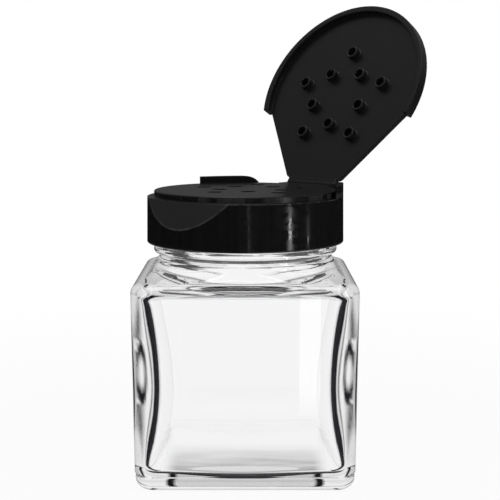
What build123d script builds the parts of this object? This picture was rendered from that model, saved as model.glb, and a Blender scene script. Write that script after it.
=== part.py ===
from build123d import *
from math import cos, radians, sin, tan
import os

# Square glass spice jar with a screw-on sifter cap and a flip lid, in millimetres with +Z up.
# The origin is the middle of the jar's flat base. -Y is the panel that faces the viewer.
# The cap is screwed home, and the lid stands open on its living hinge.

# Glass body
shoulder_width = 50.2  # across the flats
heel_width = 49.0
shoulder_height = 46.0
heel_corner_radius = 4.6
shoulder_corner_radius = 5.4
shoulder_edge_radius = 2.2
heel_edge_radius = 2.4

# Inside of the glass: thickest in the corners half way up, where the inside is roundest
glass_wall = 2.7
glass_floor = 4.0
shoulder_glass = 2.0  # thickness of the shoulder beside the neck
waist_height = 23.0
floor_corner_radius = 2.8
waist_corner_radius = 7.8
ceiling_corner_radius = 4.2
cavity_floor_radius = 2.4
cavity_ceiling_radius = 1.8

# Glass neck
neck_radius = 19.9
neck_bore_radius = 17.5
neck_height = 15.2  # from the shoulder to the lip
lip_edge_radius = 0.7
root_bead_radius = 20.8  # swelling where the neck leaves the shoulder
root_bead_height = 2.2
transfer_bead_radius = 21.3  # ring just below the cap
transfer_bead_width = 1.8
transfer_bead_height = 4.5  # from the shoulder to the ring's lower side
bead_edge_radius = 0.55

# Liner ring between the lip and the cap
liner_thickness = 1.0
liner_edge_clearance = 0.5  # inside the cap's bore

# Screw cap
cap_radius = 22.85  # at the open end of the skirt
cap_draft_angle = 0.6
cap_bore_radius = 21.5
cap_skirt_height = 10.6  # up to the ledge that the shut lid closes on to
ledge_thickness = 1.2
skirt_edge_radius = 0.35
disc_radius = 21.15
disc_step = 1.45  # the sifter disc stands this far above the ledge
disc_thickness = 1.35
disc_edge_radius = 0.3
sealing_land = 0.5  # the disc's thick border reaches this far inside the neck's bore
hinge_direction = 47.8  # degrees from +X towards +Y

# Sifter pattern, shared by the holes in the disc and the pegs on the lid
ring_count = 5  # in each of two rings, turned by half a step from each other
outer_ring_radius = 12.5
inner_ring_radius = 7.7
pattern_offset = 2.2  # from the cap's axis towards the hinge
sifter_hole_radius = 1.75
peg_clearance = 0.15  # round each peg in its hole
peg_wall = 0.5
peg_length = 1.6

# Flip lid
lid_thickness = 1.3
lid_gap = 0.25  # between the shut lid and the disc
lid_edge_radius = 0.45
lid_overhang = 0.75  # the lid's edge reaches this far past the top of the skirt
rim_thickness = 1.4
rim_gap = 0.1  # between the shut lid's rim and the ledge
rim_half_angle = 106.5  # each way from the side opposite the hinge
lid_base_half_width = 8.2
lid_base_corner_radius = 1.5
lid_open_angle = 118.6  # from shut, as it stands

# Living hinge and the pad that carries it
hinge_half_width = 7.1
hinge_outset = 2.1  # the pivot line lies this far outside the top of the skirt
pivot_depth = 0.9  # below the shut lid's outer face
hinge_end_gap = 0.35  # from the pivot line to the edge of the lid
web_thickness = 0.35  # at the pivot line
web_root_thickness = 0.9
pad_half_width = 7.6
pad_height = 4.0
pad_slope_height = 1.2  # the pad's underside rises outwards by this much
pad_root = 1.15  # depth that the pad is let into the skirt
pad_disc_overlap = 0.6  # depth that the pad's top is let into the disc

# Wings that fill the circle beside the lid
wing_gap = 0.4
wing_slope_length = 3.0  # the top curves down to the disc over this length
wing_slope_bulge = 0.45  # rise of that curve over its own chord

# Thumb notch opposite the hinge
notch_depth = 1.0  # at the ledge, so that the skirt's wall stays whole
notch_height = 6.4
notch_radius = 29.5  # flatter than the skirt, so that the notch runs out at its sides
notch_half_angle = 28.0

overrun = 1.0  # how far a cutting shape runs past what it cuts

# Heights that the pieces share
neck_top = shoulder_height + neck_height
cap_top_inside = neck_top + liner_thickness
ledge_height = cap_top_inside + ledge_thickness
cap_bottom = ledge_height - cap_skirt_height
disc_top = ledge_height + disc_step
shut_lid_top = disc_top + lid_gap + lid_thickness

# Plan of the cap: local x runs from the cap's axis to the hinge
skirt_top_radius = cap_radius - cap_skirt_height * tan(radians(cap_draft_angle))
hinge_angle = radians(hinge_direction)
hinge_way = Vector(cos(hinge_angle), sin(hinge_angle), 0)
across_way = Vector(-sin(hinge_angle), cos(hinge_angle), 0)
up_way = Vector(0, 0, 1)
cap_plane = Plane(origin=(0, 0, 0), x_dir=hinge_way, z_dir=up_way)
# Upright section through the hinge: local x as above, local y is the height
section_plane = Plane(origin=(0, 0, 0), x_dir=hinge_way, z_dir=-across_way)

# The open lid's own plane: local x runs along the lid from the pivot, local z out of its outer face
pivot_reach = skirt_top_radius + hinge_outset
pivot_height = shut_lid_top - pivot_depth
open_angle = radians(lid_open_angle)
pivot_point = hinge_way * pivot_reach + up_way * pivot_height
lid_way = hinge_way * -cos(open_angle) + up_way * sin(open_angle)
lid_outward = hinge_way * sin(open_angle) + up_way * cos(open_angle)
lid_plane = Plane(origin=pivot_point, x_dir=lid_way, z_dir=lid_outward)
lid_inner_face = pivot_depth - lid_thickness
lid_centre = pivot_reach
lid_radius = skirt_top_radius + lid_overhang
rim_inner_radius = lid_radius - rim_thickness


def on_section(along, outward):
    """Section point for a point of the open lid, given along it and out of its outer face."""
    point = pivot_point + lid_way * along + lid_outward * outward
    return (point.dot(hinge_way), point.Z)


# Space inside the glass: a square room with rounded edges, and the round bore
waist_width = heel_width + (shoulder_width - heel_width) * waist_height / shoulder_height
ceiling_height = shoulder_height - shoulder_glass
cavity_sections = (
    (glass_floor, heel_width, floor_corner_radius),
    (waist_height, waist_width, waist_corner_radius),
    (ceiling_height, shoulder_width, ceiling_corner_radius),
)
with BuildPart() as cavity:
    for height, width, corner_radius in cavity_sections:
        with BuildSketch(Plane.XY.offset(height)):
            RectangleRounded(width - 2 * glass_wall, width - 2 * glass_wall, corner_radius)
    loft()
    fillet(cavity.faces().sort_by(Axis.Z)[0].edges(), radius=cavity_floor_radius)
    fillet(cavity.faces().sort_by(Axis.Z)[-1].edges(), radius=cavity_ceiling_radius)
    with BuildSketch(Plane.XY.offset(neck_top + overrun)):
        Circle(neck_bore_radius)
    extrude(amount=ceiling_height - neck_top - 2 * overrun)

# Glass jar: the square body, its round neck with two beads, and the hollow
body_sections = (
    (0, heel_width, heel_corner_radius),
    (shoulder_height, shoulder_width, shoulder_corner_radius),
)
transfer_bead_bottom = shoulder_height + transfer_bead_height
transfer_bead_top = transfer_bead_bottom + transfer_bead_width
root_bead_top = shoulder_height + root_bead_height
with BuildPart() as glass_jar:
    for height, width, corner_radius in body_sections:
        with BuildSketch(Plane.XY.offset(height)):
            RectangleRounded(width, width, corner_radius)
    loft()
    fillet(glass_jar.faces().sort_by(Axis.Z)[-1].edges(), radius=shoulder_edge_radius)
    fillet(glass_jar.faces().sort_by(Axis.Z)[0].edges(), radius=heel_edge_radius)
    with BuildSketch(Plane.XZ) as neck_profile:
        with BuildLine():
            Polyline(
                (0, shoulder_height - overrun),
                (root_bead_radius, shoulder_height - overrun),
                (root_bead_radius, root_bead_top),
                (neck_radius, root_bead_top),
                (neck_radius, transfer_bead_bottom),
                (transfer_bead_radius, transfer_bead_bottom),
                (transfer_bead_radius, transfer_bead_top),
                (neck_radius, transfer_bead_top),
                (neck_radius, neck_top),
                (0, neck_top),
                close=True,
            )
        make_face()
        beads = [v for v in neck_profile.vertices() if v.X > neck_radius and v.Y > shoulder_height]
        fillet(beads, radius=bead_edge_radius)
    revolve(axis=Axis.Z)
    add(cavity.part, mode=Mode.SUBTRACT)
    lip_edges = glass_jar.edges().filter_by(GeomType.CIRCLE).group_by(Axis.Z)[-1]
    fillet(lip_edges, radius=lip_edge_radius)
glass_jar.part.label = "glass_jar"

# Liner ring: lies on the lip, and the cap presses it down
with BuildPart() as liner_ring:
    with BuildSketch(Plane.XY.offset(neck_top)):
        Circle(cap_bore_radius - liner_edge_clearance)
        Circle(neck_bore_radius, mode=Mode.SUBTRACT)
    extrude(amount=liner_thickness)
liner_ring.part.label = "liner_ring"

# The wings' inner walls follow the straight sides of the shut lid, a gap away from them
lid_edge_reach = pivot_reach - hinge_end_gap
rim_end_angle = radians(180 - rim_half_angle)
side_start = Vector(rim_inner_radius * cos(rim_end_angle), rim_inner_radius * sin(rim_end_angle))
side_end = Vector(lid_edge_reach, lid_base_half_width)
side_way = (side_end - side_start).normalized()
side_out = Vector(-side_way.Y, side_way.X)
wing_start = side_start + (side_out + side_way) * wing_gap
wing_end = side_end + side_out * wing_gap
wing_outline = (
    wing_start,
    wing_end,
    wing_end + side_out * cap_radius,
    wing_start + wing_start.normalized() * cap_radius,
)
# The wing's inner wall runs out where it meets the circle
wall_distance = wing_start.dot(side_out)
wall_run = (skirt_top_radius**2 - wall_distance**2) ** 0.5
wing_tip = side_out * wall_distance + side_way * wall_run

# Thumb notch: a slanting face on a circle wider than the skirt's
notch_inset = skirt_top_radius - notch_depth
notch_centre = notch_radius - notch_inset
notch_end_radius = skirt_top_radius + notch_height * tan(radians(cap_draft_angle))
notch_run = notch_end_radius - notch_inset
notch_start = radians(hinge_direction + 180 - notch_half_angle)
notch_plane = Plane(
    origin=hinge_way * notch_centre,
    x_dir=(cos(notch_start), sin(notch_start), 0),
    z_dir=(sin(notch_start), -cos(notch_start), 0),
)

# Cap: skirt and ledge, notch, sifter disc, hinge pad, wings and holes
with BuildPart() as cap_body:
    with BuildSketch(Plane.XZ):
        with BuildLine():
            Polyline(
                (cap_bore_radius, cap_bottom),
                (cap_radius, cap_bottom),
                (skirt_top_radius, ledge_height),
                (0, ledge_height),
                (0, cap_top_inside),
                (cap_bore_radius, cap_top_inside),
                close=True,
            )
        make_face()
    revolve(axis=Axis.Z)
    bottom_edges = cap_body.edges().group_by(Axis.Z)[0]
    fillet(bottom_edges.sort_by(SortBy.LENGTH)[-1], radius=skirt_edge_radius)
    with BuildSketch(notch_plane):
        with BuildLine():
            Polyline(
                (notch_radius, ledge_height + overrun),
                (notch_radius, ledge_height),
                (notch_radius + 2 * notch_run, ledge_height - 2 * notch_height),
                (notch_radius + notch_inset, ledge_height - 2 * notch_height),
                (notch_radius + notch_inset, ledge_height + overrun),
                close=True,
            )
        make_face()
    notch_axis = Axis(notch_plane.origin, up_way)
    revolve(axis=notch_axis, revolution_arc=2 * notch_half_angle, mode=Mode.SUBTRACT)
    with BuildSketch(cap_plane.offset(cap_top_inside)):
        Circle(disc_radius)
    extrude(amount=disc_top - cap_top_inside)
    fillet(cap_body.faces().sort_by(Axis.Z)[-1].edges(), radius=disc_edge_radius)
    with BuildSketch(section_plane):
        with BuildLine():
            Polyline(
                (disc_radius - pad_disc_overlap, disc_top),
                (pivot_reach, disc_top),
                (pivot_reach, disc_top - pad_height + pad_slope_height),
                (skirt_top_radius - pad_root, disc_top - pad_height),
                (skirt_top_radius - pad_root, ledge_height - ledge_thickness / 2),
                (disc_radius - pad_disc_overlap, ledge_height - ledge_thickness / 2),
                close=True,
            )
        make_face()
    extrude(amount=pad_half_width, both=True)
    with BuildSketch(cap_plane.offset(ledge_height)):
        for side in (1, -1):
            with BuildLine():
                Polyline(*[(corner.X, side * corner.Y) for corner in wing_outline], close=True)
            make_face()
        Circle(skirt_top_radius, mode=Mode.INTERSECT)
    extrude(amount=shut_lid_top - ledge_height)
    with BuildSketch(section_plane):
        with BuildLine():
            slope_start = (wing_tip.X - wing_slope_length, shut_lid_top)
            slope = SagittaArc(slope_start, (wing_tip.X, disc_top), wing_slope_bulge)
            Polyline(
                slope @ 1,
                (pivot_reach + overrun, disc_top),
                (pivot_reach + overrun, shut_lid_top + overrun),
                (slope_start[0], shut_lid_top + overrun),
                slope @ 0,
            )
        make_face()
    extrude(amount=cap_radius, both=True, mode=Mode.SUBTRACT)
    with BuildSketch(cap_plane.offset(cap_top_inside)):
        Circle(neck_bore_radius - sealing_land)
    extrude(amount=disc_top - disc_thickness - cap_top_inside, mode=Mode.SUBTRACT)
    with BuildSketch(cap_plane.offset(disc_top)):
        with Locations((pattern_offset, 0)):
            with PolarLocations(outer_ring_radius, ring_count, start_angle=180):
                Circle(sifter_hole_radius)
            with PolarLocations(inner_ring_radius, ring_count):
                Circle(sifter_hole_radius)
    extrude(amount=-2 * disc_thickness, mode=Mode.SUBTRACT)
cap_body.part.label = "cap_body"

# Living hinge: a thin web from the pad to the edge of the lid, thinnest at the pivot line
lid_edge_outer = on_section(hinge_end_gap, pivot_depth)
lid_edge_inner = on_section(hinge_end_gap, pivot_depth - web_root_thickness)
with BuildPart() as living_hinge:
    with BuildSketch(section_plane):
        with BuildLine():
            Polyline(
                (pivot_reach - web_root_thickness, disc_top),
                (pivot_reach, disc_top),
                (pivot_reach + web_thickness / 2, pivot_height),
                lid_edge_outer,
                lid_edge_inner,
                (pivot_reach - web_thickness / 2, pivot_height),
                close=True,
            )
        make_face()
    extrude(amount=hinge_half_width, both=True)
living_hinge.part.label = "living_hinge"

# Flip lid: a flat plate with a rim round its arc and hollow pegs that plug the sifter holes
peg_radius = sifter_hole_radius - peg_clearance
rim_height = shut_lid_top - lid_thickness - ledge_height - rim_gap
side_corner = (lid_centre - side_start.X, side_start.Y)
base_corner = (hinge_end_gap, lid_base_half_width)
with BuildPart() as flip_lid:
    with BuildSketch(lid_plane.offset(lid_inner_face)) as lid_outline:
        with BuildLine():
            front = CenterArc((lid_centre, 0), lid_radius, -rim_half_angle, 2 * rim_half_angle)
            Polyline(
                front @ 1,
                side_corner,
                base_corner,
                (base_corner[0], -base_corner[1]),
                (side_corner[0], -side_corner[1]),
                front @ 0,
            )
        make_face()
        fillet(lid_outline.vertices().group_by(Axis.X)[0], radius=lid_base_corner_radius)
    extrude(amount=lid_thickness)
    outer_face = flip_lid.faces().sort_by(Axis(pivot_point, lid_outward))[-1]
    # all round but for the short steps at the ends of the rim
    long_edges = outer_face.edges().filter_by(lambda edge: edge.length > 2 * rim_thickness)
    fillet(long_edges, radius=lid_edge_radius)
    with BuildSketch(lid_plane.offset(lid_inner_face)):
        with BuildLine():
            outer = CenterArc((lid_centre, 0), lid_radius, -rim_half_angle, 2 * rim_half_angle)
            inner = CenterArc((lid_centre, 0), rim_inner_radius, -rim_half_angle, 2 * rim_half_angle)
            Line(outer @ 0, inner @ 0)
            Line(outer @ 1, inner @ 1)
        make_face()
    extrude(amount=-rim_height)
    with BuildSketch(lid_plane.offset(lid_inner_face)):
        with Locations((lid_centre - pattern_offset, 0)):
            with PolarLocations(outer_ring_radius, ring_count):
                Circle(peg_radius)
                Circle(peg_radius - peg_wall, mode=Mode.SUBTRACT)
            with PolarLocations(inner_ring_radius, ring_count, start_angle=180):
                Circle(peg_radius)
                Circle(peg_radius - peg_wall, mode=Mode.SUBTRACT)
    extrude(amount=-peg_length)
flip_lid.part.label = "flip_lid"

os.makedirs("parts", exist_ok=True)
for piece in (glass_jar, liner_ring, cap_body, living_hinge, flip_lid):
    export_step(piece.part, f"parts/{piece.part.label}.step")
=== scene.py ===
from math import atan2, cos, degrees, hypot, pi, radians, sin, sqrt, tan
import bpy
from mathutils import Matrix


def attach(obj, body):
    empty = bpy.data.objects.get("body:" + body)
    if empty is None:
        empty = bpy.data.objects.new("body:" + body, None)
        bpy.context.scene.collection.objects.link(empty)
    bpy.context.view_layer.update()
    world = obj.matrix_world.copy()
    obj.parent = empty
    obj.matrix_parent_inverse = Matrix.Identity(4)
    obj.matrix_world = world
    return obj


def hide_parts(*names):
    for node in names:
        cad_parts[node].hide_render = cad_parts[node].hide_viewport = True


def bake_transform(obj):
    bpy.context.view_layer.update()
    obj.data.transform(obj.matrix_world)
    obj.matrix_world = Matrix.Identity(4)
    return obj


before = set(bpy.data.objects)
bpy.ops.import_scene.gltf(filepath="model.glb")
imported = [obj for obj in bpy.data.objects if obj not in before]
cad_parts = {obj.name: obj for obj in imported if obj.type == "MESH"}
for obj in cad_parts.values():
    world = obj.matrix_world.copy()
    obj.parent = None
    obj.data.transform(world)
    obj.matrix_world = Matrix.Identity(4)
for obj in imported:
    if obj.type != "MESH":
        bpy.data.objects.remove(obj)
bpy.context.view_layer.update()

mm = 0.001
print("frame loaded:", sorted(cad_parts))


class Wire:
    # a socket that takes part in plain arithmetic
    def __init__(self, tree, socket):
        self.tree, self.socket = tree, socket

    def join(self, operation, first, second):
        maths = self.tree.nodes.new("ShaderNodeMath")
        maths.operation = operation
        for slot, value in zip(maths.inputs, (first, second)):
            if isinstance(value, Wire):
                self.tree.links.new(value.socket, slot)
            else:
                slot.default_value = value
        return Wire(self.tree, maths.outputs[0])

    def atLeast(self, other):
        return self.join("MAXIMUM", self, other)

    def __add__(self, other):
        return self.join("ADD", self, other)

    def __radd__(self, other):
        return self.join("ADD", other, self)

    def __sub__(self, other):
        return self.join("SUBTRACT", self, other)

    def __rsub__(self, other):
        return self.join("SUBTRACT", other, self)

    def __mul__(self, other):
        return self.join("MULTIPLY", self, other)

    def __rmul__(self, other):
        return self.join("MULTIPLY", other, self)

    def __truediv__(self, other):
        return self.join("DIVIDE", self, other)

    def __pow__(self, other):
        return self.join("POWER", self, other)

    def __gt__(self, other):
        return self.join("GREATER_THAN", self, other)

    def __lt__(self, other):
        return self.join("LESS_THAN", self, other)

    def __abs__(self):
        return self.join("ABSOLUTE", self, 0.0)


class Recipe:
    # the node tree of a material or of the world
    def __init__(self, owner):
        owner.use_nodes = True
        self.owner, self.tree = owner, owner.node_tree
        self.tree.nodes.clear()

    def node(self, kind, settings=None, sockets=None, output=0):
        made = self.tree.nodes.new("ShaderNode" + kind)
        for name, value in (settings or {}).items():
            if name == "stops":
                stops = made.color_ramp.elements
                while len(stops) < len(value):
                    stops.new(1)
                for stop, (place, shade) in zip(stops, value):
                    stop.position, stop.color = place, (shade, shade, shade, 1)
            else:
                setattr(made, name, value)
        for name, value in (sockets or {}).items():
            if isinstance(value, Wire):
                self.tree.links.new(value.socket, made.inputs[name])
            else:
                made.inputs[name].default_value = value
        return Wire(self.tree, made.outputs[output]) if made.outputs else None

    def noise(self, place, scale, detail):
        return self.node("TexNoise", {}, {"Vector": place, "Scale": scale, "Detail": detail})

    def vector(self, x, y, z=0.0):
        return self.node("CombineXYZ", {}, {"X": x, "Y": y, "Z": z})

    def millimetres(self, place):
        # the three parts of a place in metres
        return [self.node("SeparateXYZ", {}, {"Vector": place}, axis) * 1000 for axis in "XYZ"]

    def fade(self, value, band, start=0.0, end=1.0, smooth=False):
        # start below the band, end above it
        kind = "SMOOTHSTEP" if smooth else "LINEAR"
        return self.node("MapRange", {"interpolation_type": kind}, {
            "Value": value, "From Min": band[0], "From Max": band[1], "To Min": start, "To Max": end})

    def mixFloat(self, share, low, high):
        return self.node("Mix", {"data_type": "FLOAT"}, {"Factor": share, "A": low, "B": high})

    def mixShader(self, share, low, high):
        made = self.node("MixShader", {}, {"Fac": share})
        for slot, shader in zip(made.socket.node.inputs[1:], (low, high)):
            self.tree.links.new(shader.socket, slot)
        return made

    def finish(self, surface):
        self.node("OutputMaterial", {}, {"Surface": surface})
        return self.owner


def newMaterial(name):
    return Recipe(bpy.data.materials.new(name))


def addObject(name, vertices, faces, material):
    mesh = bpy.data.meshes.new(name)
    mesh.from_pydata(vertices, [], faces)
    mesh.shade_smooth()
    mesh.materials.append(material)
    piece = bpy.data.objects.new(name, mesh)
    bpy.context.scene.collection.objects.link(piece)
    return piece


# Camera: level with the lid's lower edge, looking a little down on the cap
cameraPlace = {"across": 1.09, "back": 282.5, "height": 88.3, "pitch": 7.6,
               "lens": 87.7, "sensor": 36, "clipStart": 0.01}
camera = bpy.data.objects.new("camera", bpy.data.cameras.new("camera"))
bpy.context.scene.collection.objects.link(camera)
camera.location = (cameraPlace["across"] * mm, -cameraPlace["back"] * mm, cameraPlace["height"] * mm)
camera.rotation_euler = (radians(90 - cameraPlace["pitch"]), 0, 0)
camera.data.lens = cameraPlace["lens"]
camera.data.sensor_width = cameraPlace["sensor"]
camera.data.clip_start = cameraPlace["clipStart"]
bpy.context.scene.camera = camera
bpy.context.scene.view_settings.view_transform = "Standard"
print("camera set")

# Clear glass, with painted shade: dark lines are painted where a bend of the inside would throw the light
# sideways, as thick glass does
clearGlass = {
    # lineColour is the colour of the painted dark lines and marks
    "tint": (0.995, 0.995, 1, 1), "ior": 1.5, "roughness": 0.0, "lineColour": (0.012, 0.011, 0.016, 1),
    # a bend's painted shade, by how far it turns away: one wide line and a thin one beside it
    "lineStops": ((0.0, 0), (0.17, 0), (0.21, 0.3), (0.23, 0.98), (0.34, 1),
                  (0.36, 0.2), (0.375, 0.2), (0.39, 0.8), (0.41, 0)),
    "lensStops": ((0.0, 0), (0.4, 0), (0.42, 1), (1.0, 1)),  # the painted rings and bars show where the skin slants
    "footShade": 0.95,
    "neckBand": (46.2, 52.6), "neckReach": 18.0, "neckShade": 0.9,  # painted shade: dark streaks in the bore
    "streakShadeRound": 0.13, "streakShadeUp": 1.3, "streakShadeDetail": 3.0,
    "streakShadeLevel": (0.47, 0.51), "streakShadeSide": (0.07, 0.16),
    "passes": 1, "mirrors": 0,  # the painted marks show only to light that has come no further
    "mirrorsBeforeGlow": 4, "paintedGlowLevel": 0.75,  # painted glow: the glass glows pale where light has been caught in the wall
}
halfCount = 0.5  # a limit lies between two whole counts of bounces


def makeClearGlass():
    glass = newMaterial("clearGlass")
    facing = glass.node("LayerWeight", {}, {"Blend": 0.5}, "Facing")
    # the painted shade marks, kept on the skin's points
    bend, lens, foot = [glass.node("Attribute", {"attribute_name": name}, {}, "Fac")
                        for name in ("bend", "lens", "foot")]
    line = glass.node("ValToRGB", {"stops": clearGlass["lineStops"]}, {"Fac": facing})
    slant = glass.node("ValToRGB", {"stops": clearGlass["lensStops"]}, {"Fac": facing})
    x, y, z = glass.millimetres(glass.node("TexCoord", {}, {}, "Object"))
    low, high = clearGlass["neckBand"]
    inNeck = (z > low) * (z < high) * ((x ** 2.0 + y ** 2.0) ** 0.5 < clearGlass["neckReach"])
    around, up = clearGlass["streakShadeRound"], clearGlass["streakShadeUp"]
    # painted shade: dark streaks in the bore, towards the sides of the neck
    streakShade = glass.noise(glass.vector(x * around, y * around, z * up), 1.0, clearGlass["streakShadeDetail"])
    streakShade = glass.fade(streakShade, clearGlass["streakShadeLevel"])
    neck = inNeck * streakShade * glass.fade(facing, clearGlass["streakShadeSide"])
    shade = (neck * clearGlass["neckShade"]).atLeast(foot * clearGlass["footShade"])
    shade = shade.atLeast(bend * line).atLeast(lens * slant)
    inGlass = glass.node("NewGeometry", {}, {}, "Backfacing")
    passes = glass.node("LightPath", {}, {}, "Transmission Depth")
    mirrors = glass.node("LightPath", {}, {}, "Glossy Depth")
    first = (passes < clearGlass["passes"] + halfCount) * (mirrors < clearGlass["mirrors"] + halfCount)
    trapped = mirrors > clearGlass["mirrorsBeforeGlow"] - halfCount
    pure = glass.node("BsdfPrincipled", {}, {
        "Base Color": clearGlass["tint"], "Roughness": clearGlass["roughness"],
        "IOR": clearGlass["ior"], "Transmission Weight": 1.0})
    # painted shade: the marks mix in this near-black colour
    dark = glass.node("BsdfDiffuse", {}, {"Color": clearGlass["lineColour"]})
    # painted glow for light caught in the wall
    paintedGlow = glass.node("Emission", {}, {"Color": (1, 1, 1, 1), "Strength": clearGlass["paintedGlowLevel"]})
    marked = glass.mixShader(shade * inGlass * first, pure, dark)
    return glass.finish(glass.mixShader(trapped, marked, paintedGlow))


# Glass jar: one closed skin, laid ring by ring from the base up the outside and down the inside
jarShape = {
    "heelWidth": 49.0, "shoulderWidth": 50.2, "shoulderHeight": 46.0, "waistHeight": 23.0,
    "heelCorner": 4.6, "shoulderCorner": 5.4, "slack": 0.002,  # the skin stays just inside the solid
    "heelRound": 2.4, "heelBand": 3.7,
    "heelInset": 0.18, "heelStep": 0.5,  # the lowest band is a little narrower
    "shoulderRound": 2.2, "rampRoot": 20.7, "rampRise": 2.5, "rampCurve": (2.2, 0.8), "rootRise": 0.9,
    "neckRadius": 19.9, "neckStep": 0.2, "bore": 17.5, "lip": 61.2, "lipRound": 0.7,
    "bead": (51.3, 0.95, 1.38), "beadCurve": 2.4,  # height, half width and how far it stands out
    "threadPitch": 3.175, "threadDepth": 0.95, "threadHalf": 0.85, "threadStart": 54.0, "threadTurns": 1.35,
    "threadEnd": 0.08, "threadFlank": 2.2,
    "waves": ((7, 1.3, 0.05), (13, -2.1, 0.03), (23, 4.0, 0.02)),  # unevenness: round, up and depth
    "waveBand": (46.5, 50.5),
    "wall": 2.7, "insideCorners": (1.9, 7.8, 4.2),  # at the floor, the waist and the ceiling
    "ceiling": 44.0, "ceilingEdge": 43.95, "ceilingRound": 1.8, "boreRound": 2.0,
    "floor": 3.8, "floorRound": 1.7,
    "floorDip": 0.9, "dipEnd": 0.8,  # the floor's edge dips between the corners
    "floorSteps": (0.97, 0.94, 0.91, 0.88, 0.85, 0.8, 0.6, 0.4, 0.2),

    # painted shade: marks that the glass's shader darkens
    "bendBand": (4.2, 43.5), "bendMargin": 0.02,
    "footBand": (3.81, 4.5),  # painted shade: the inside's lower edge looks dark
    "lensTurn": 66, "lensHeight": 26.0, "lensHalf": (9, 8.2),  # painted dark ring inside each corner, degrees and mm
    "lensRim": 6, "lensHole": (0.3, 3.5),  # how sharp its rim is, and its hole's size and slope
    "lensSides": 0.78,
    "tailTurn": 71, "tailHalf": 11,  # painted grey streak above and below the ring
    "tailShade": 0.9, "tailBand": (0.9, 2.5),
    "ceilingBand": (43.0, 46.1),
    "ovals": (21.3, 11.0, 2.2), "ovalRim": 5,  # painted dark ovals: from the axis, half length, half width
    "edgeBar": (20.9, 22.4, 11.5, 18.0, 0.9),  # painted dark bar towards each corner: near, far, start, end and shade
    "heelFrame": (15.6, 17.6, 0.27),  # painted dark frame: from and to, and the painted shade of what it frames

    # points in each ring, and the rings of each stretch
    "points": 480,
    "steps": {"base": 24, "heel": 8, "underBand": 3, "bandEdge": 5, "wall": 28, "shoulder": 8, "ramp": 20,
              "root": 5, "lip": 8, "bore": 20, "boreRound": 5, "ceiling": 6, "corner": 10, "inside": 40},
}


def spread(low, high, steps):
    # even steps from low to high, without low itself
    return [low + (high - low) * k / steps for k in range(1, steps + 1)]


def arc(steps, start=1, sweep=pi / 2):
    # sine and cosine at even steps of a turn
    return [(sin(k * sweep / steps), cos(k * sweep / steps)) for k in range(start, steps + 1)]


def within(value, band):
    return band[0] < value < band[1]


def clamp(value):
    return max(0.0, min(1.0, value))


def squareRound(half, corner, angle):
    # distance from the axis to a square with round corners, along one angle
    c, s = abs(cos(angle)), abs(sin(angle))
    c, s = max(c, s), min(c, s)
    centre = half - corner
    if half * s / c <= centre:
        return half / c
    middle = centre * (c + s)
    return middle + sqrt(max(0.0, middle * middle - 2 * centre * centre + corner * corner))


def cornerShare(angle):
    # 0 in the middle of a side and 1 at a corner
    return abs(tan((angle + pi / 4) % (pi / 2) - pi / 4))


def outsideHalf(z):
    low, high = jarShape["heelWidth"] - jarShape["slack"], jarShape["shoulderWidth"] - jarShape["slack"]
    return (low + (high - low) * z / jarShape["shoulderHeight"]) / 2


def outsideCorner(z):
    low, high = jarShape["heelCorner"], jarShape["shoulderCorner"]
    return low + (high - low) * z / jarShape["shoulderHeight"]


def heelInset(z):
    # the step at the top of the heel band is a short slope
    return jarShape["heelInset"] * min(1.0, max(0.0, (jarShape["heelBand"] - z) / jarShape["heelStep"]))


def insideHalf(z):
    return outsideHalf(z) - jarShape["wall"]


def insideCorner(z):
    # the glass is thickest in the corners half way up, where the inside is roundest
    low, middle, high = jarShape["insideCorners"]
    bottom, waist, top = jarShape["floor"], jarShape["waistHeight"], jarShape["ceilingEdge"]
    z = min(top, max(bottom, z))
    away = (z - waist) / ((top - waist) if z > waist else (waist - bottom))
    return middle + ((high if z > waist else low) - middle) * away * away * (3 - away * away) / 2


def baseRings():
    # the flat base and the round edge of the heel; a ring is its height, half width and corner radius
    heel, inset, steps = jarShape["heelRound"], jarShape["heelInset"], jarShape["steps"]
    half, corner = outsideHalf(heel) - inset, outsideCorner(heel) - inset
    flat = spread(0, 1, steps["base"])[:-1]
    rings = [(0, (half - heel) * share, (corner - heel) * share) for share in flat]
    for out, down in arc(steps["heel"], start=0):
        rings.append((heel * (1 - down), half - heel * (1 - out), corner - heel * (1 - out)))
    return rings


def sideRings(top):
    bandTop, steps = jarShape["heelBand"], jarShape["steps"]
    low = bandTop - jarShape["heelStep"]
    heights = spread(jarShape["heelRound"], low, steps["underBand"])
    heights += spread(low, bandTop, steps["bandEdge"]) + spread(bandTop, top, steps["wall"])
    return [(z, outsideHalf(z) - heelInset(z), outsideCorner(z)) for z in heights]


def shoulderRings(top):
    # the shoulder's round edge, its slope up to the neck, and the neck's root
    edge, root, steps = jarShape["shoulderRound"], jarShape["rampRoot"], jarShape["steps"]
    rings = []
    for up, out in arc(steps["shoulder"]):
        inset = edge * (1 - out)
        rings.append((top + edge * up, outsideHalf(top) - inset, outsideCorner(top) - inset))
    z, half, corner = rings[-1]
    lift, draw = jarShape["rampCurve"]
    for share in spread(0, 1, steps["ramp"]):
        inward = share ** draw
        rise = jarShape["rampRise"] * share ** lift
        rings.append((z + rise, half + (root - half) * inward, corner + (root - corner) * inward))
    z = rings[-1][0]
    for up, out in arc(steps["root"]):
        radius = root - (root - jarShape["neckRadius"]) * (1 - out)
        rings.append((z + jarShape["rootRise"] * up, radius, radius))
    return rings


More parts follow.
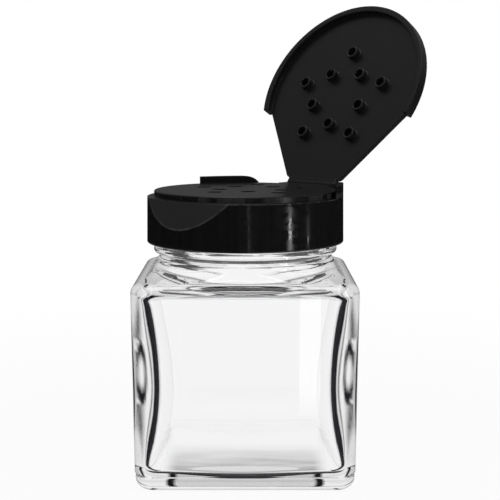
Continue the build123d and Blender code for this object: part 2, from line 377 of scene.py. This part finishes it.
def neckRings(low):
    # the neck with its bead, and the round lip
    neck, bore, lipBottom = jarShape["neckRadius"], jarShape["bore"], jarShape["lip"] - jarShape["lipRound"]
    beadHeight, beadHalf, beadReach = jarShape["bead"]
    rings = []
    for z in spread(low, lipBottom, int((lipBottom - low) / jarShape["neckStep"])):
        away = min(1.0, abs(z - beadHeight) / beadHalf)
        radius = neck + beadReach * sqrt(1 - away ** jarShape["beadCurve"])
        rings.append((z, radius, radius))
    for up, out in arc(jarShape["steps"]["lip"], sweep=pi):
        radius = (neck + bore) / 2 + (neck - bore) / 2 * out
        rings.append((lipBottom + jarShape["lipRound"] * up, radius, radius))
    return rings


def outsideRings():
    top = jarShape["shoulderHeight"] - jarShape["shoulderRound"]
    rings = baseRings() + sideRings(top) + shoulderRings(top)
    return rings + neckRings(rings[-1][0])


def boreRings():
    bore, curve, steps = jarShape["bore"], jarShape["boreRound"], jarShape["steps"]
    top, low = jarShape["lip"] - jarShape["lipRound"], jarShape["ceiling"] + curve
    rings = [(z, bore, bore) for z in spread(top, low, steps["bore"])]
    for down, out in arc(steps["boreRound"]):
        radius = bore + curve * (1 - out)
        rings.append((low - curve * down, radius, radius))
    return rings


def ceilingRings(start, wallTop):
    # from the bore outwards, and round into the walls
    edge, rounding, steps = jarShape["ceilingEdge"], jarShape["ceilingRound"], jarShape["steps"]
    half, corner = insideHalf(wallTop), insideCorner(wallTop)
    wider, rounder = half - rounding - start, corner - rounding - start
    rings = []
    for share in spread(0, 1, steps["ceiling"]):
        z = jarShape["ceiling"] + (edge - jarShape["ceiling"]) * share ** 2
        rings.append((z, start + wider * share, start + rounder * share))
    for out, up in arc(steps["corner"]):
        inset = rounding * (1 - out)
        rings.append((wallTop + rounding * up, half - inset, corner - inset))
    return rings


def insideRings():
    bore, steps = boreRings(), jarShape["steps"]
    wallTop = jarShape["ceilingEdge"] - jarShape["ceilingRound"]
    bottom, rounding = jarShape["floor"], jarShape["floorRound"]
    rings = bore + ceilingRings(bore[-1][1], wallTop)
    heights = spread(wallTop, bottom + rounding, steps["inside"])
    rings += [(z, insideHalf(z), insideCorner(z)) for z in heights]
    half, corner = insideHalf(bottom), rings[-1][2]
    for down, out in arc(steps["corner"]):
        inset = rounding * (1 - out)
        rings.append((bottom + rounding * (1 - down), half - inset, corner - inset))
    z, half, corner = rings[-1]
    return rings + [(z, half * share, corner * share) for share in jarShape["floorSteps"]]


def floorDips(rows):
    # how far the floor's edge sinks between the corners, by ring
    count, dip, end = jarShape["steps"]["corner"], jarShape["floorDip"], jarShape["dipEnd"]
    edge = rows - 1 - len(jarShape["floorSteps"])  # last ring of the floor's rounding
    dips = {edge - count + k: dip * k / count for k in range(1, count + 1)}
    for k, share in enumerate(jarShape["floorSteps"]):
        dips[edge + 1 + k] = dip * max(0, (share - end) / (1 - end)) ** 2
    return dips


def threadReach(angle, z):
    # how far the screw thread stands out of the neck
    reach, turns, end = 0.0, jarShape["threadTurns"], jarShape["threadEnd"]
    for wrap in range(int(turns) + 2):
        along = angle / (2 * pi) + wrap
        away = abs(z - jarShape["threadStart"] - jarShape["threadPitch"] * along) / jarShape["threadHalf"]
        if along < turns and away < 1:
            ends = min(1.0, along / end, (turns - along) / end)
            flank = min(1.0, jarShape["threadFlank"] * (1 - away))
            reach = max(reach, jarShape["threadDepth"] * ends * flank)
    return reach


def waveReach(angle, z):
    if not within(z, jarShape["waveBand"]):
        return 0.0
    return sum(depth * sin(around * angle + up * z) for around, up, depth in jarShape["waves"])


def lensShade(turn, z):
    # painted shade: a ring round a clear middle, darkest at its ends, and its streaks; turn runs over the
    # corner's arc
    halfTurn, halfHeight = jarShape["lensHalf"]
    turn, up = max(turn, 90 - turn), abs(z - jarShape["lensHeight"]) / halfHeight
    away = hypot((turn - jarShape["lensTurn"]) / halfTurn, up)
    hole, slope = jarShape["lensHole"]
    ring = clamp(min((1 - away) * jarShape["lensRim"], (away - hole) * slope))
    ring *= min(1.0, jarShape["lensSides"] + up * up)
    start, end = jarShape["tailBand"]
    if up <= start:
        return ring
    tail = clamp(1 - abs(turn - jarShape["tailTurn"]) / jarShape["tailHalf"]) * clamp(end - up)
    return max(ring, tail * jarShape["tailShade"])


def ceilingShade(x, y):
    # painted shade: a dark oval in the shoulder glass, in the middle of each side, and a dark bar towards
    # each corner
    along, outward = min(abs(x), abs(y)), max(abs(x), abs(y))
    near, far, start, end, dark = jarShape["edgeBar"]
    if near < outward < far and start < along < end:
        return dark
    place, halfLength, halfWidth = jarShape["ovals"]
    return clamp(jarShape["ovalRim"] * (1 - hypot(along / halfLength, (outward - place) / halfWidth)))


def heelShade(x, y):
    # painted shade: a dark square frame round a grey field on the base, seen through the heel of the glass
    near, far, field = jarShape["heelFrame"]
    outward = max(abs(x), abs(y))
    if outward > far:
        return 0.0
    return 1.0 if outward > near else field


def markShade(inside, inBend, x, y, ring):
    # the painted shade of the rings, ovals, bars and frame at one point of the skin
    z, half, corner = ring
    if not inside:
        return heelShade(x, y) if z == 0 else 0.0
    if within(z, jarShape["ceilingBand"]):
        return ceilingShade(x, y)
    sideways, backwards = abs(x) - half + corner, abs(y) - half + corner
    if inBend and sideways > 0 and backwards > 0:
        return lensShade(degrees(atan2(backwards, sideways)), z)
    return 0.0


def makeJar():
    outside = outsideRings()
    rings, points = outside + insideRings(), jarShape["points"]
    dips = floorDips(len(rings))
    vertices, faces, bends, lenses, feet = [], [], [], [], []
    for row, (z, half, corner) in enumerate(rings):
        inside = row >= len(outside)
        for k in range(points):
            angle = 2 * pi * k / points
            c, s, lateral = cos(angle), sin(angle), cornerShare(angle)
            reach = squareRound(half, min(corner, half), angle)
            inBend = inside and lateral > (half - corner) / half - jarShape["bendMargin"]
            # painted shade marks for the glass's shader: bends, feet and lenses
            bends.append(1.0 if inBend and within(z, jarShape["bendBand"]) else 0.0)
            # painted dark line at the inside's lower edge
            feet.append(1.0 if inside and within(z, jarShape["footBand"]) else 0.0)
            lenses.append(markShade(inside, inBend, reach * c, reach * s, (z, half, corner)))
            if not inside:
                reach += waveReach(angle, z) + threadReach(angle, z)
            sink = dips.get(row, 0) * (1 - lateral * lateral) ** 2
            vertices.append((reach * c * mm, reach * s * mm, (z - sink) * mm))
    for row in range(len(rings) - 1):
        for k in range(points):
            a, b = row * points + k, row * points + (k + 1) % points
            faces.append((a, b, b + points, a + points))
    first, last, tail = len(vertices), len(vertices) + 1, (len(rings) - 1) * points
    vertices += [(0, 0, 0), (0, 0, rings[-1][0] * mm)]
    faces += [(first, (k + 1) % points, k) for k in range(points)]
    faces += [(last, tail + k, tail + (k + 1) % points) for k in range(points)]
    jar = addObject("jarGlass", vertices, faces, makeClearGlass())
    for name, values in (("bend", bends), ("lens", lenses), ("foot", feet)):
        jar.data.attributes.new(name, "FLOAT", "POINT").data.foreach_set("value", values + [0.0, 0.0])
    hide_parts("glass_jar")
    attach(jar, "jar")
    return jar


jar = makeJar()
print("glass jar made:", len(jar.data.vertices), "points")

# Cap sizes that the plastic's marks and the hinge follow
capShape = {"hinge": 47.8, "bottom": 52.8, "ledge": 63.4, "discTop": 64.85, "skirtRadius": 22.85,
            "draft": 0.010472, "bore": 21.6, "discRadius": 21.15}

# Black plastic: glossy on the skirt, satin in the notch, a little duller on the lid
plastic = {
    "colour": 0.009, "blueness": 1.03, "roughness": 0.25, "shine": 0.25, "edgeRound": 0.00035,
    "wave": (900, 2.0), "waveDepth": 0.12, "waveHeight": 0.00005,  # a noise has its size and its detail
    "streak": (900, 3.0), "streakStretch": 0.04, "streakDepth": 0.008,  # upright streaks on the skirt
    "skirtEdge": 0.02, "skirtRoughness": 0.07, "streakRoughness": 0.06,
    "patch": (800, 2.0), "patchStretch": 0.5,  # duller patches break up the highlights
    "patchLevel": (0.42, 0.52), "patchRoughness": 0.09,
    "notchSide": 12.0, "notchFoot": 1.5, "notchDepth": (0.015, 0.04), "notchRim": (0.05, 0.09),
    # the notch's paler colour is partly its satin finish and partly painted sheen
    "notchSatinAndSheen": 0.027, "notchRoughness": 0.42, "notchGlint": 0.035,
    "leastMark": 0.4,  # the painted highlights and reflections at the edges are never fainter than this share
    "side": (260, 1.0), "sideLevel": (0.48, 0.53), "sideSheenColour": 0.03,  # painted reflection: paler lengths on the disc's side
    "sideBand": (0.12, 0.3), "sideGap": 0.1,
    # painted highlight: a broken pale line along the ledge's edge
    "ledgeBand": (0.12, 0.05), "ledgeReach": 22.55, "ledgeGlintLevel": 0.05,
}
lidFinish = {"cloud": (180.0, 4.0), "colour": 0.0105, "colourSwing": 0.002,
             "roughness": 0.26, "roughnessSwing": 0.08, "shine": 0.25}


def plasticBase(recipe):
    # fine orange peel and softened edges, as one normal
    place = recipe.node("TexCoord", {}, {}, "Object")
    wave = recipe.noise(place, *plastic["wave"])
    softEdge = recipe.node("Bevel", {"samples": 6}, {"Radius": plastic["edgeRound"]})
    return place, recipe.node("Bump", {}, {
        "Height": wave, "Strength": plastic["waveDepth"],
        "Distance": plastic["waveHeight"], "Normal": softEdge})


def grey(recipe, level):
    return recipe.vector(level, level, level * plastic["blueness"])


def makeCapPlastic():
    black = newMaterial("capPlastic")
    place, normal = plasticBase(black)
    x, y, z = black.millimetres(place)
    reach = (x ** 2.0 + y ** 2.0) ** 0.5
    upright = black.vector(x * mm, y * mm, z * (mm * plastic["streakStretch"]))
    streak = black.noise(upright, *plastic["streak"])
    wide = mm * plastic["patchStretch"]
    patch = black.noise(black.vector(x * wide, y * wide, z * mm), *plastic["patch"])
    patch = black.fade(patch, plastic["patchLevel"])

    # the skirt, and the notch where the surface lies below the skirt's cone
    ledge, draft = capShape["ledge"], capShape["draft"]
    onSkirt = (reach > capShape["bore"]) * (z < ledge - plastic["skirtEdge"])
    depth = (capShape["skirtRadius"] + capShape["bottom"] * draft) - z * draft - reach
    c, s = cos(radians(capShape["hinge"])), sin(radians(capShape["hinge"]))
    facingNotch = (x * -c - y * s) > plastic["notchSide"]
    inNotch = onSkirt * facingNotch * (z > capShape["bottom"] + plastic["notchFoot"])
    inNotch = inNotch * black.fade(depth, plastic["notchDepth"])
    # painted highlight: a thin pale line along the notch's rim
    notchGlint = inNotch * (1 - black.fade(depth, plastic["notchRim"]))

    # painted reflection: paler lengths on the disc's side wall, and a painted highlight: a broken line
    # along the ledge's edge
    above, below = plastic["sideBand"]
    onSide = (z > ledge + above) * (z < capShape["discTop"] - below)
    onSide = onSide * (reach > capShape["discRadius"] - plastic["sideGap"])
    lengths = black.noise(black.vector(x * mm, y * mm), *plastic["side"])
    lengths = black.fade(lengths, plastic["sideLevel"])
    sideSheen = onSide * lengths * (plastic["leastMark"] + streak)
    under, over = plastic["ledgeBand"]
    ledgeGlint = (z > ledge - under) * (z < ledge + over) * (reach > plastic["ledgeReach"]) * patch

    shade = plastic["colour"] + onSkirt * (streak - 0.5) * plastic["streakDepth"]
    # the notch is paler: partly its satin finish, partly painted sheen
    shade = black.mixFloat(inNotch, shade, plastic["notchSatinAndSheen"])
    shade = shade + notchGlint * plastic["notchGlint"] * (plastic["leastMark"] + patch)
    shade = shade + sideSheen * plastic["sideSheenColour"] + ledgeGlint * plastic["ledgeGlintLevel"]
    dull = plastic["skirtRoughness"] + patch * plastic["patchRoughness"]
    dull = dull + (streak - 0.5) * plastic["streakRoughness"]
    roughness = black.mixFloat(onSkirt, plastic["roughness"], dull)
    roughness = black.mixFloat(inNotch, roughness, plastic["notchRoughness"])
    return black.finish(black.node("BsdfPrincipled", {}, {
        "Base Color": grey(black, shade), "Roughness": roughness,
        "Specular IOR Level": plastic["shine"], "Normal": normal}))


def makePlainPlastic(name, look):
    # moulded plastic with faint clouds in its colour and gloss
    plain = newMaterial(name)
    place, normal = plasticBase(plain)
    cloud = plain.noise(place, *look["cloud"])
    return plain.finish(plain.node("BsdfPrincipled", {}, {
        "Base Color": grey(plain, look["colour"] + cloud * look["colourSwing"]),
        "Roughness": look["roughness"] + cloud * look["roughnessSwing"],
        "Specular IOR Level": look["shine"], "Normal": normal}))


# Liner foam: fine closed cells
foamLook = {"cellSize": 2600.0, "bump": 0.5, "bumpHeight": 0.0001,
            "colour": 0.7, "colourSwing": 0.12, "roughness": 0.75, "roughnessSwing": 0.2}


def makeLinerFoam():
    foam = newMaterial("linerFoam")
    place = foam.node("TexCoord", {}, {}, "Object")
    cells = foam.node("TexVoronoi", {}, {"Vector": place, "Scale": foamLook["cellSize"]})
    bump = foam.node("Bump", {}, {
        "Height": cells, "Strength": foamLook["bump"], "Distance": foamLook["bumpHeight"]})
    return foam.finish(foam.node("BsdfPrincipled", {}, {
        "Base Color": grey(foam, foamLook["colour"] + cells * foamLook["colourSwing"]),
        "Roughness": foamLook["roughness"] + cells * foamLook["roughnessSwing"], "Normal": bump}))


capPlastic = makeCapPlastic()
for name, material in (("cap_body", capPlastic), ("flip_lid", makePlainPlastic("lidPlastic", lidFinish)),
                       ("liner_ring", makeLinerFoam())):
    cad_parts[name].data.materials.clear()
    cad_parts[name].data.materials.append(material)
print("cap, lid and liner finished")

# Living hinge: a web between the cap's pad and the lid's edge, thinnest half way
webShape = {
    "halfWidth": 7.5, "steps": 12, "slices": 24, "thinning": 0.06,
    # inner and outer point in the upright section through the hinge
    "foot": ((23.7, 64.83), (24.83, 64.83)),
    "top": ((24.77, 66.277), (25.5, 65.54)),
    "finish": {"cloud": (900, 3.0), "colour": 0.008, "colourSwing": 0.002,
               "roughness": 0.3, "roughnessSwing": 0.1, "shine": 0.2},  # stretched dull by folding; its darker colour is painted shade that keeps it as dark as the lid beside it
}


def alongHinge(out, side, height):
    # a point given from the cap's axis towards the hinge, to one side and up
    c, s = cos(radians(capShape["hinge"])), sin(radians(capShape["hinge"]))
    return ((out * c - side * s) * mm, (out * s + side * c) * mm, height * mm)


def webSection():
    # up the inner face and down the outer one
    section, steps = [], webShape["steps"]
    for face, inward in ((0, 1), (1, -1)):
        (x0, z0), (x1, z1) = webShape["foot"][face], webShape["top"][face]
        shares = [j / steps for j in range(steps + 1)]
        if face == 1:
            shares.reverse()
        for share in shares:
            thin = webShape["thinning"] * sin(pi * share) * inward
            section.append((x0 + (x1 - x0) * share + thin, z0 + (z1 - z0) * share))
    return section


def makeWeb():
    vertices, faces = [], []
    section, slices = webSection(), webShape["slices"]
    loop = len(section)
    for k in range(slices + 1):
        side = webShape["halfWidth"] * (2 * k / slices - 1)
        vertices += [alongHinge(out, side, height) for out, height in section]
    for k in range(slices):
        for j in range(loop):
            a, b = k * loop + j, k * loop + (j + 1) % loop
            faces.append((a, a + loop, b + loop, b))
    faces += [tuple(range(loop)), tuple(slices * loop + j for j in reversed(range(loop)))]
    web = addObject("hingeWeb", vertices, faces, makePlainPlastic("creasedShadedPlastic", webShape["finish"]))
    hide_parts("living_hinge")
    alongHinge(24.27, 0, 64.83)
    alongHinge(25.1, 0, 65.75)
    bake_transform(web)
    return web


makeWeb()
print("hinge web made")

# Screw thread inside the cap, in the groove of the neck's own thread
capThread = {
    "root": 21.56, "crest": 20.8, "footHalf": 0.62, "crestHalf": 0.25, "pitch": jarShape["threadPitch"],
    "low": 55.59, "start": 0.2, "turns": 1.0, "steps": 144, "runOut": 10, "leastHeight": 0.02,
}


def threadSection(share):
    # foot, crest, crest and foot again, lower towards both ends of the thread
    root, footHalf, crestHalf = capThread["root"], capThread["footHalf"], capThread["crestHalf"]
    ends = min(1.0, capThread["runOut"] * share, capThread["runOut"] * (1 - share))
    crest = root + (capThread["crest"] - root) * max(ends, capThread["leastHeight"])
    return (root, -footHalf), (crest, -crestHalf), (crest, crestHalf), (root, footHalf)


def makeCapThread():
    vertices, faces, steps = [], [], capThread["steps"]
    for k in range(steps + 1):
        turn = capThread["start"] + capThread["turns"] * k / steps
        middle, angle = capThread["low"] + capThread["pitch"] * turn, 2 * pi * turn
        for radius, height in threadSection(k / steps):
            vertices.append((radius * cos(angle) * mm, radius * sin(angle) * mm, (middle + height) * mm))
    for k in range(steps):
        for j in range(4):
            a, b = 4 * k + j, 4 * k + (j + 1) % 4
            faces.append((a, b, b + 4, a + 4))
    faces += [(3, 2, 1, 0), tuple(4 * steps + j for j in range(4))]
    thread = addObject("capThread", vertices, faces, capPlastic)
    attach(thread, "cap")
    return thread


makeCapThread()
print("cap thread made")

# Floor and studio: the floor keeps the shadow, and only glass and gloss see the darker parts
studio = {
    "floorHalf": 3, "floorGap": 0.1, "floorColour": 0.9, "floorGlow": 0.94, "glowBand": (40.0, 260.0),
    "floorInGloss": 0.18, "farInGloss": 0.006, "farBand": (300.0, 400.0),
    # painted light: a bright strip on the floor, which widens with distance and shows only in gloss, as a
    # painted highlight on the glass
    "stripInGloss": 2.1, "stripFan": (1.09, 258.0, 233.0), "stripMiddle": 13.0,
    "stripEdge": (2.15, 2.4), "stripEnd": (-105.0, -80.0),
    # painted shadow: the streaky shade of contact under the jar's back half
    "contactShade": 0.6, "contactAlong": (-12.0, 7.0), "contactAcross": (15.0, 19.0), "contactFront": -20,
    "driftAcross": 0.05, "driftAlong": 0.25, "driftSwing": (0.1, 1.8), "driftDetail": 3.0,
    # painted light: the floor under the jar is a little brighter as seen through the glass
    "footprint": 22, "underLevel": 1.04, "levelInGlass": 0.96, "innerMirror": 0.9,
    "diffuseLevel": 0.3, "ceilingInGlass": 0.8, "ceilingBand": (0.3, 0.45),
    # what gloss sees, from straight down to straight up
    "glossStops": ((0.0, 0.006), (0.51, 0.01), (0.56, 0.14), (0.7, 0.16),
                   (0.8, 0.3), (0.95, 0.4), (1.0, 2.0)),
}


def rayKinds(recipe):
    names = ("Is Camera Ray", "Is Transmission Ray", "Is Glossy Ray", "Glossy Depth")
    return [recipe.node("LightPath", {}, {}, name) for name in names]


def mirrorLevel(mirrors):
    # light that was mirrored inside the glass comes back a little weaker
    return 1 - (1 - studio["innerMirror"]) * (mirrors > halfCount)


def floorInGloss(ground, across, along, reach):
    # painted light: a bright strip on the floor that only gloss sees
    root, fan, start = studio["stripFan"]
    spot = (across - root) * fan / (start - along)
    strip = ground.fade(abs(spot - studio["stripMiddle"]), studio["stripEdge"], 1.0, 0.0, smooth=True)
    strip = strip * ground.fade(along, studio["stripEnd"], 1.0, 0.0)
    near = ground.fade(reach, studio["farBand"], 1.0, 0.0, smooth=True)
    level = near * (studio["floorInGloss"] - studio["farInGloss"]) + studio["farInGloss"]
    return ground.mixFloat(strip, level, studio["stripInGloss"])


def floorInGlass(ground, across, along, mirrors):
    # painted shadow of contact under the jar, seen through the glass
    under = ground.fade(along, studio["contactAlong"], studio["contactShade"], 0.0, smooth=True)
    under = under * ground.fade(abs(across), studio["contactAcross"], 1.0, 0.0, smooth=True)
    under = under * (along > studio["contactFront"])
    place = ground.vector(across * studio["driftAcross"], along * studio["driftAlong"])
    drift = ground.noise(place, 1.0, studio["driftDetail"])
    least, swing = studio["driftSwing"]
    under = under * (least + drift * swing)
    # painted light: a little brighter under the jar's footprint
    footprint = (abs(across) < studio["footprint"]) * (abs(along) < studio["footprint"])
    lit = 1 + footprint * (studio["underLevel"] - 1)
    return mirrorLevel(mirrors) * (1 - under) * studio["levelInGlass"] * lit


def makeFloor():
    ground = newMaterial("paleFloor")
    seen, passed, glossed, mirrors = rayKinds(ground)
    across, along, _ = ground.millimetres(ground.node("NewGeometry", {}, {}, "Position"))
    reach = (across ** 2.0 + along ** 2.0) ** 0.5
    inGloss = floorInGloss(ground, across, along, reach)
    inGlass = floorInGlass(ground, across, along, mirrors)
    level = ground.mixFloat(seen, ground.mixFloat(passed, inGloss, inGlass), 1.0)
    away = ground.fade(reach, studio["glowBand"], studio["floorGlow"], 1.0, smooth=True)
    share = ground.mixFloat(seen, passed.atLeast(glossed), away)
    diffuse = ground.node("BsdfDiffuse", {}, {"Color": (studio["floorColour"],) * 3 + (1,)})
    glow = ground.node("Emission", {}, {"Color": level, "Strength": 1.0})
    low, half = -studio["floorGap"] * mm, studio["floorHalf"]
    corners = [(-half, -half, low), (half, -half, low), (half, half, low), (-half, half, low)]
    paleFloor = ground.finish(ground.mixShader(share, diffuse, glow))
    floor = addObject("floor", corners, [(0, 1, 2, 3)], paleFloor)


def makeSky():
    world = bpy.data.worlds.new("studio")
    bpy.context.scene.world = world
    sky = Recipe(world)
    seen, passed, glossed, mirrors = rayKinds(sky)
    rise = sky.node("SeparateXYZ", {}, {"Vector": sky.node("TexCoord", {}, {}, "Generated")}, "Z")
    inGloss = sky.node("ValToRGB", {"stops": studio["glossStops"]}, {"Fac": rise * 0.5 + 0.5})
    ceiling = sky.fade(rise, studio["ceilingBand"], 1.0, studio["ceilingInGlass"])
    inGlass = ceiling * mirrorLevel(mirrors) * studio["levelInGlass"]
    level = sky.mixFloat(glossed, studio["diffuseLevel"], inGloss)
    level = sky.mixFloat(seen, sky.mixFloat(passed, level, inGlass), 1.0)
    sky.node("OutputWorld", {}, {"Surface": sky.node("Background", {}, {"Color": level, "Strength": 1.0})})


makeFloor()
makeSky()

# Lamps, in metres: short upright strips make the broken highlights on the skirt
lamps = {
    "distance": 0.26,
    # each strip has its middle's height and its length, and a group's power is for each metre
    "right": {"turn": 50.5, "width": 0.014, "power": 1.6,
              "strips": ((0.039, 0.0012), (0.0349, 0.003), (0.0289, 0.0034), (0.0212, 0.0026))},
    "side": {"turn": 74, "width": 0.008, "power": 0.25, "strips": ((0.0315, 0.006), (0.022, 0.0015))},
    "tallTurn": 50.5, "tallWidth": 0.012, "tallStrip": (0.13, 0.15), "tallPower": 0.1,
    "roofPlace": (-0.1, -0.08, 0.7), "roofSize": 0.6, "roofPower": 1.4,
}


def addStrip(name, turn, width, strip, power, distance=lamps["distance"]):
    # an upright soft box; turn is measured from the camera's side towards +X
    middle, height = strip
    lamp = bpy.data.objects.new(name, bpy.data.lights.new(name, "AREA"))
    lamp.data.shape, lamp.data.size, lamp.data.size_y, lamp.data.energy = "RECTANGLE", width, height, power
    lamp.location = (distance * sin(radians(turn)), -distance * cos(radians(turn)), middle)
    lamp.rotation_euler = (radians(90), 0, radians(turn))
    lamp.visible_camera = lamp.visible_transmission = False
    bpy.context.scene.collection.objects.link(lamp)
    return lamp


for side in ("right", "side"):
    group = lamps[side]
    for k, strip in enumerate(group["strips"]):
        addStrip(side + "Strip" + str(k), group["turn"], group["width"], strip, group["power"] * strip[1])
addStrip("tallStrip", lamps["tallTurn"], lamps["tallWidth"], lamps["tallStrip"], lamps["tallPower"])
roof = addStrip("roof", 0, lamps["roofSize"], (0, lamps["roofSize"]), lamps["roofPower"])
roof.location, roof.rotation_euler = lamps["roofPlace"], (0, 0, 0)
print("studio set")
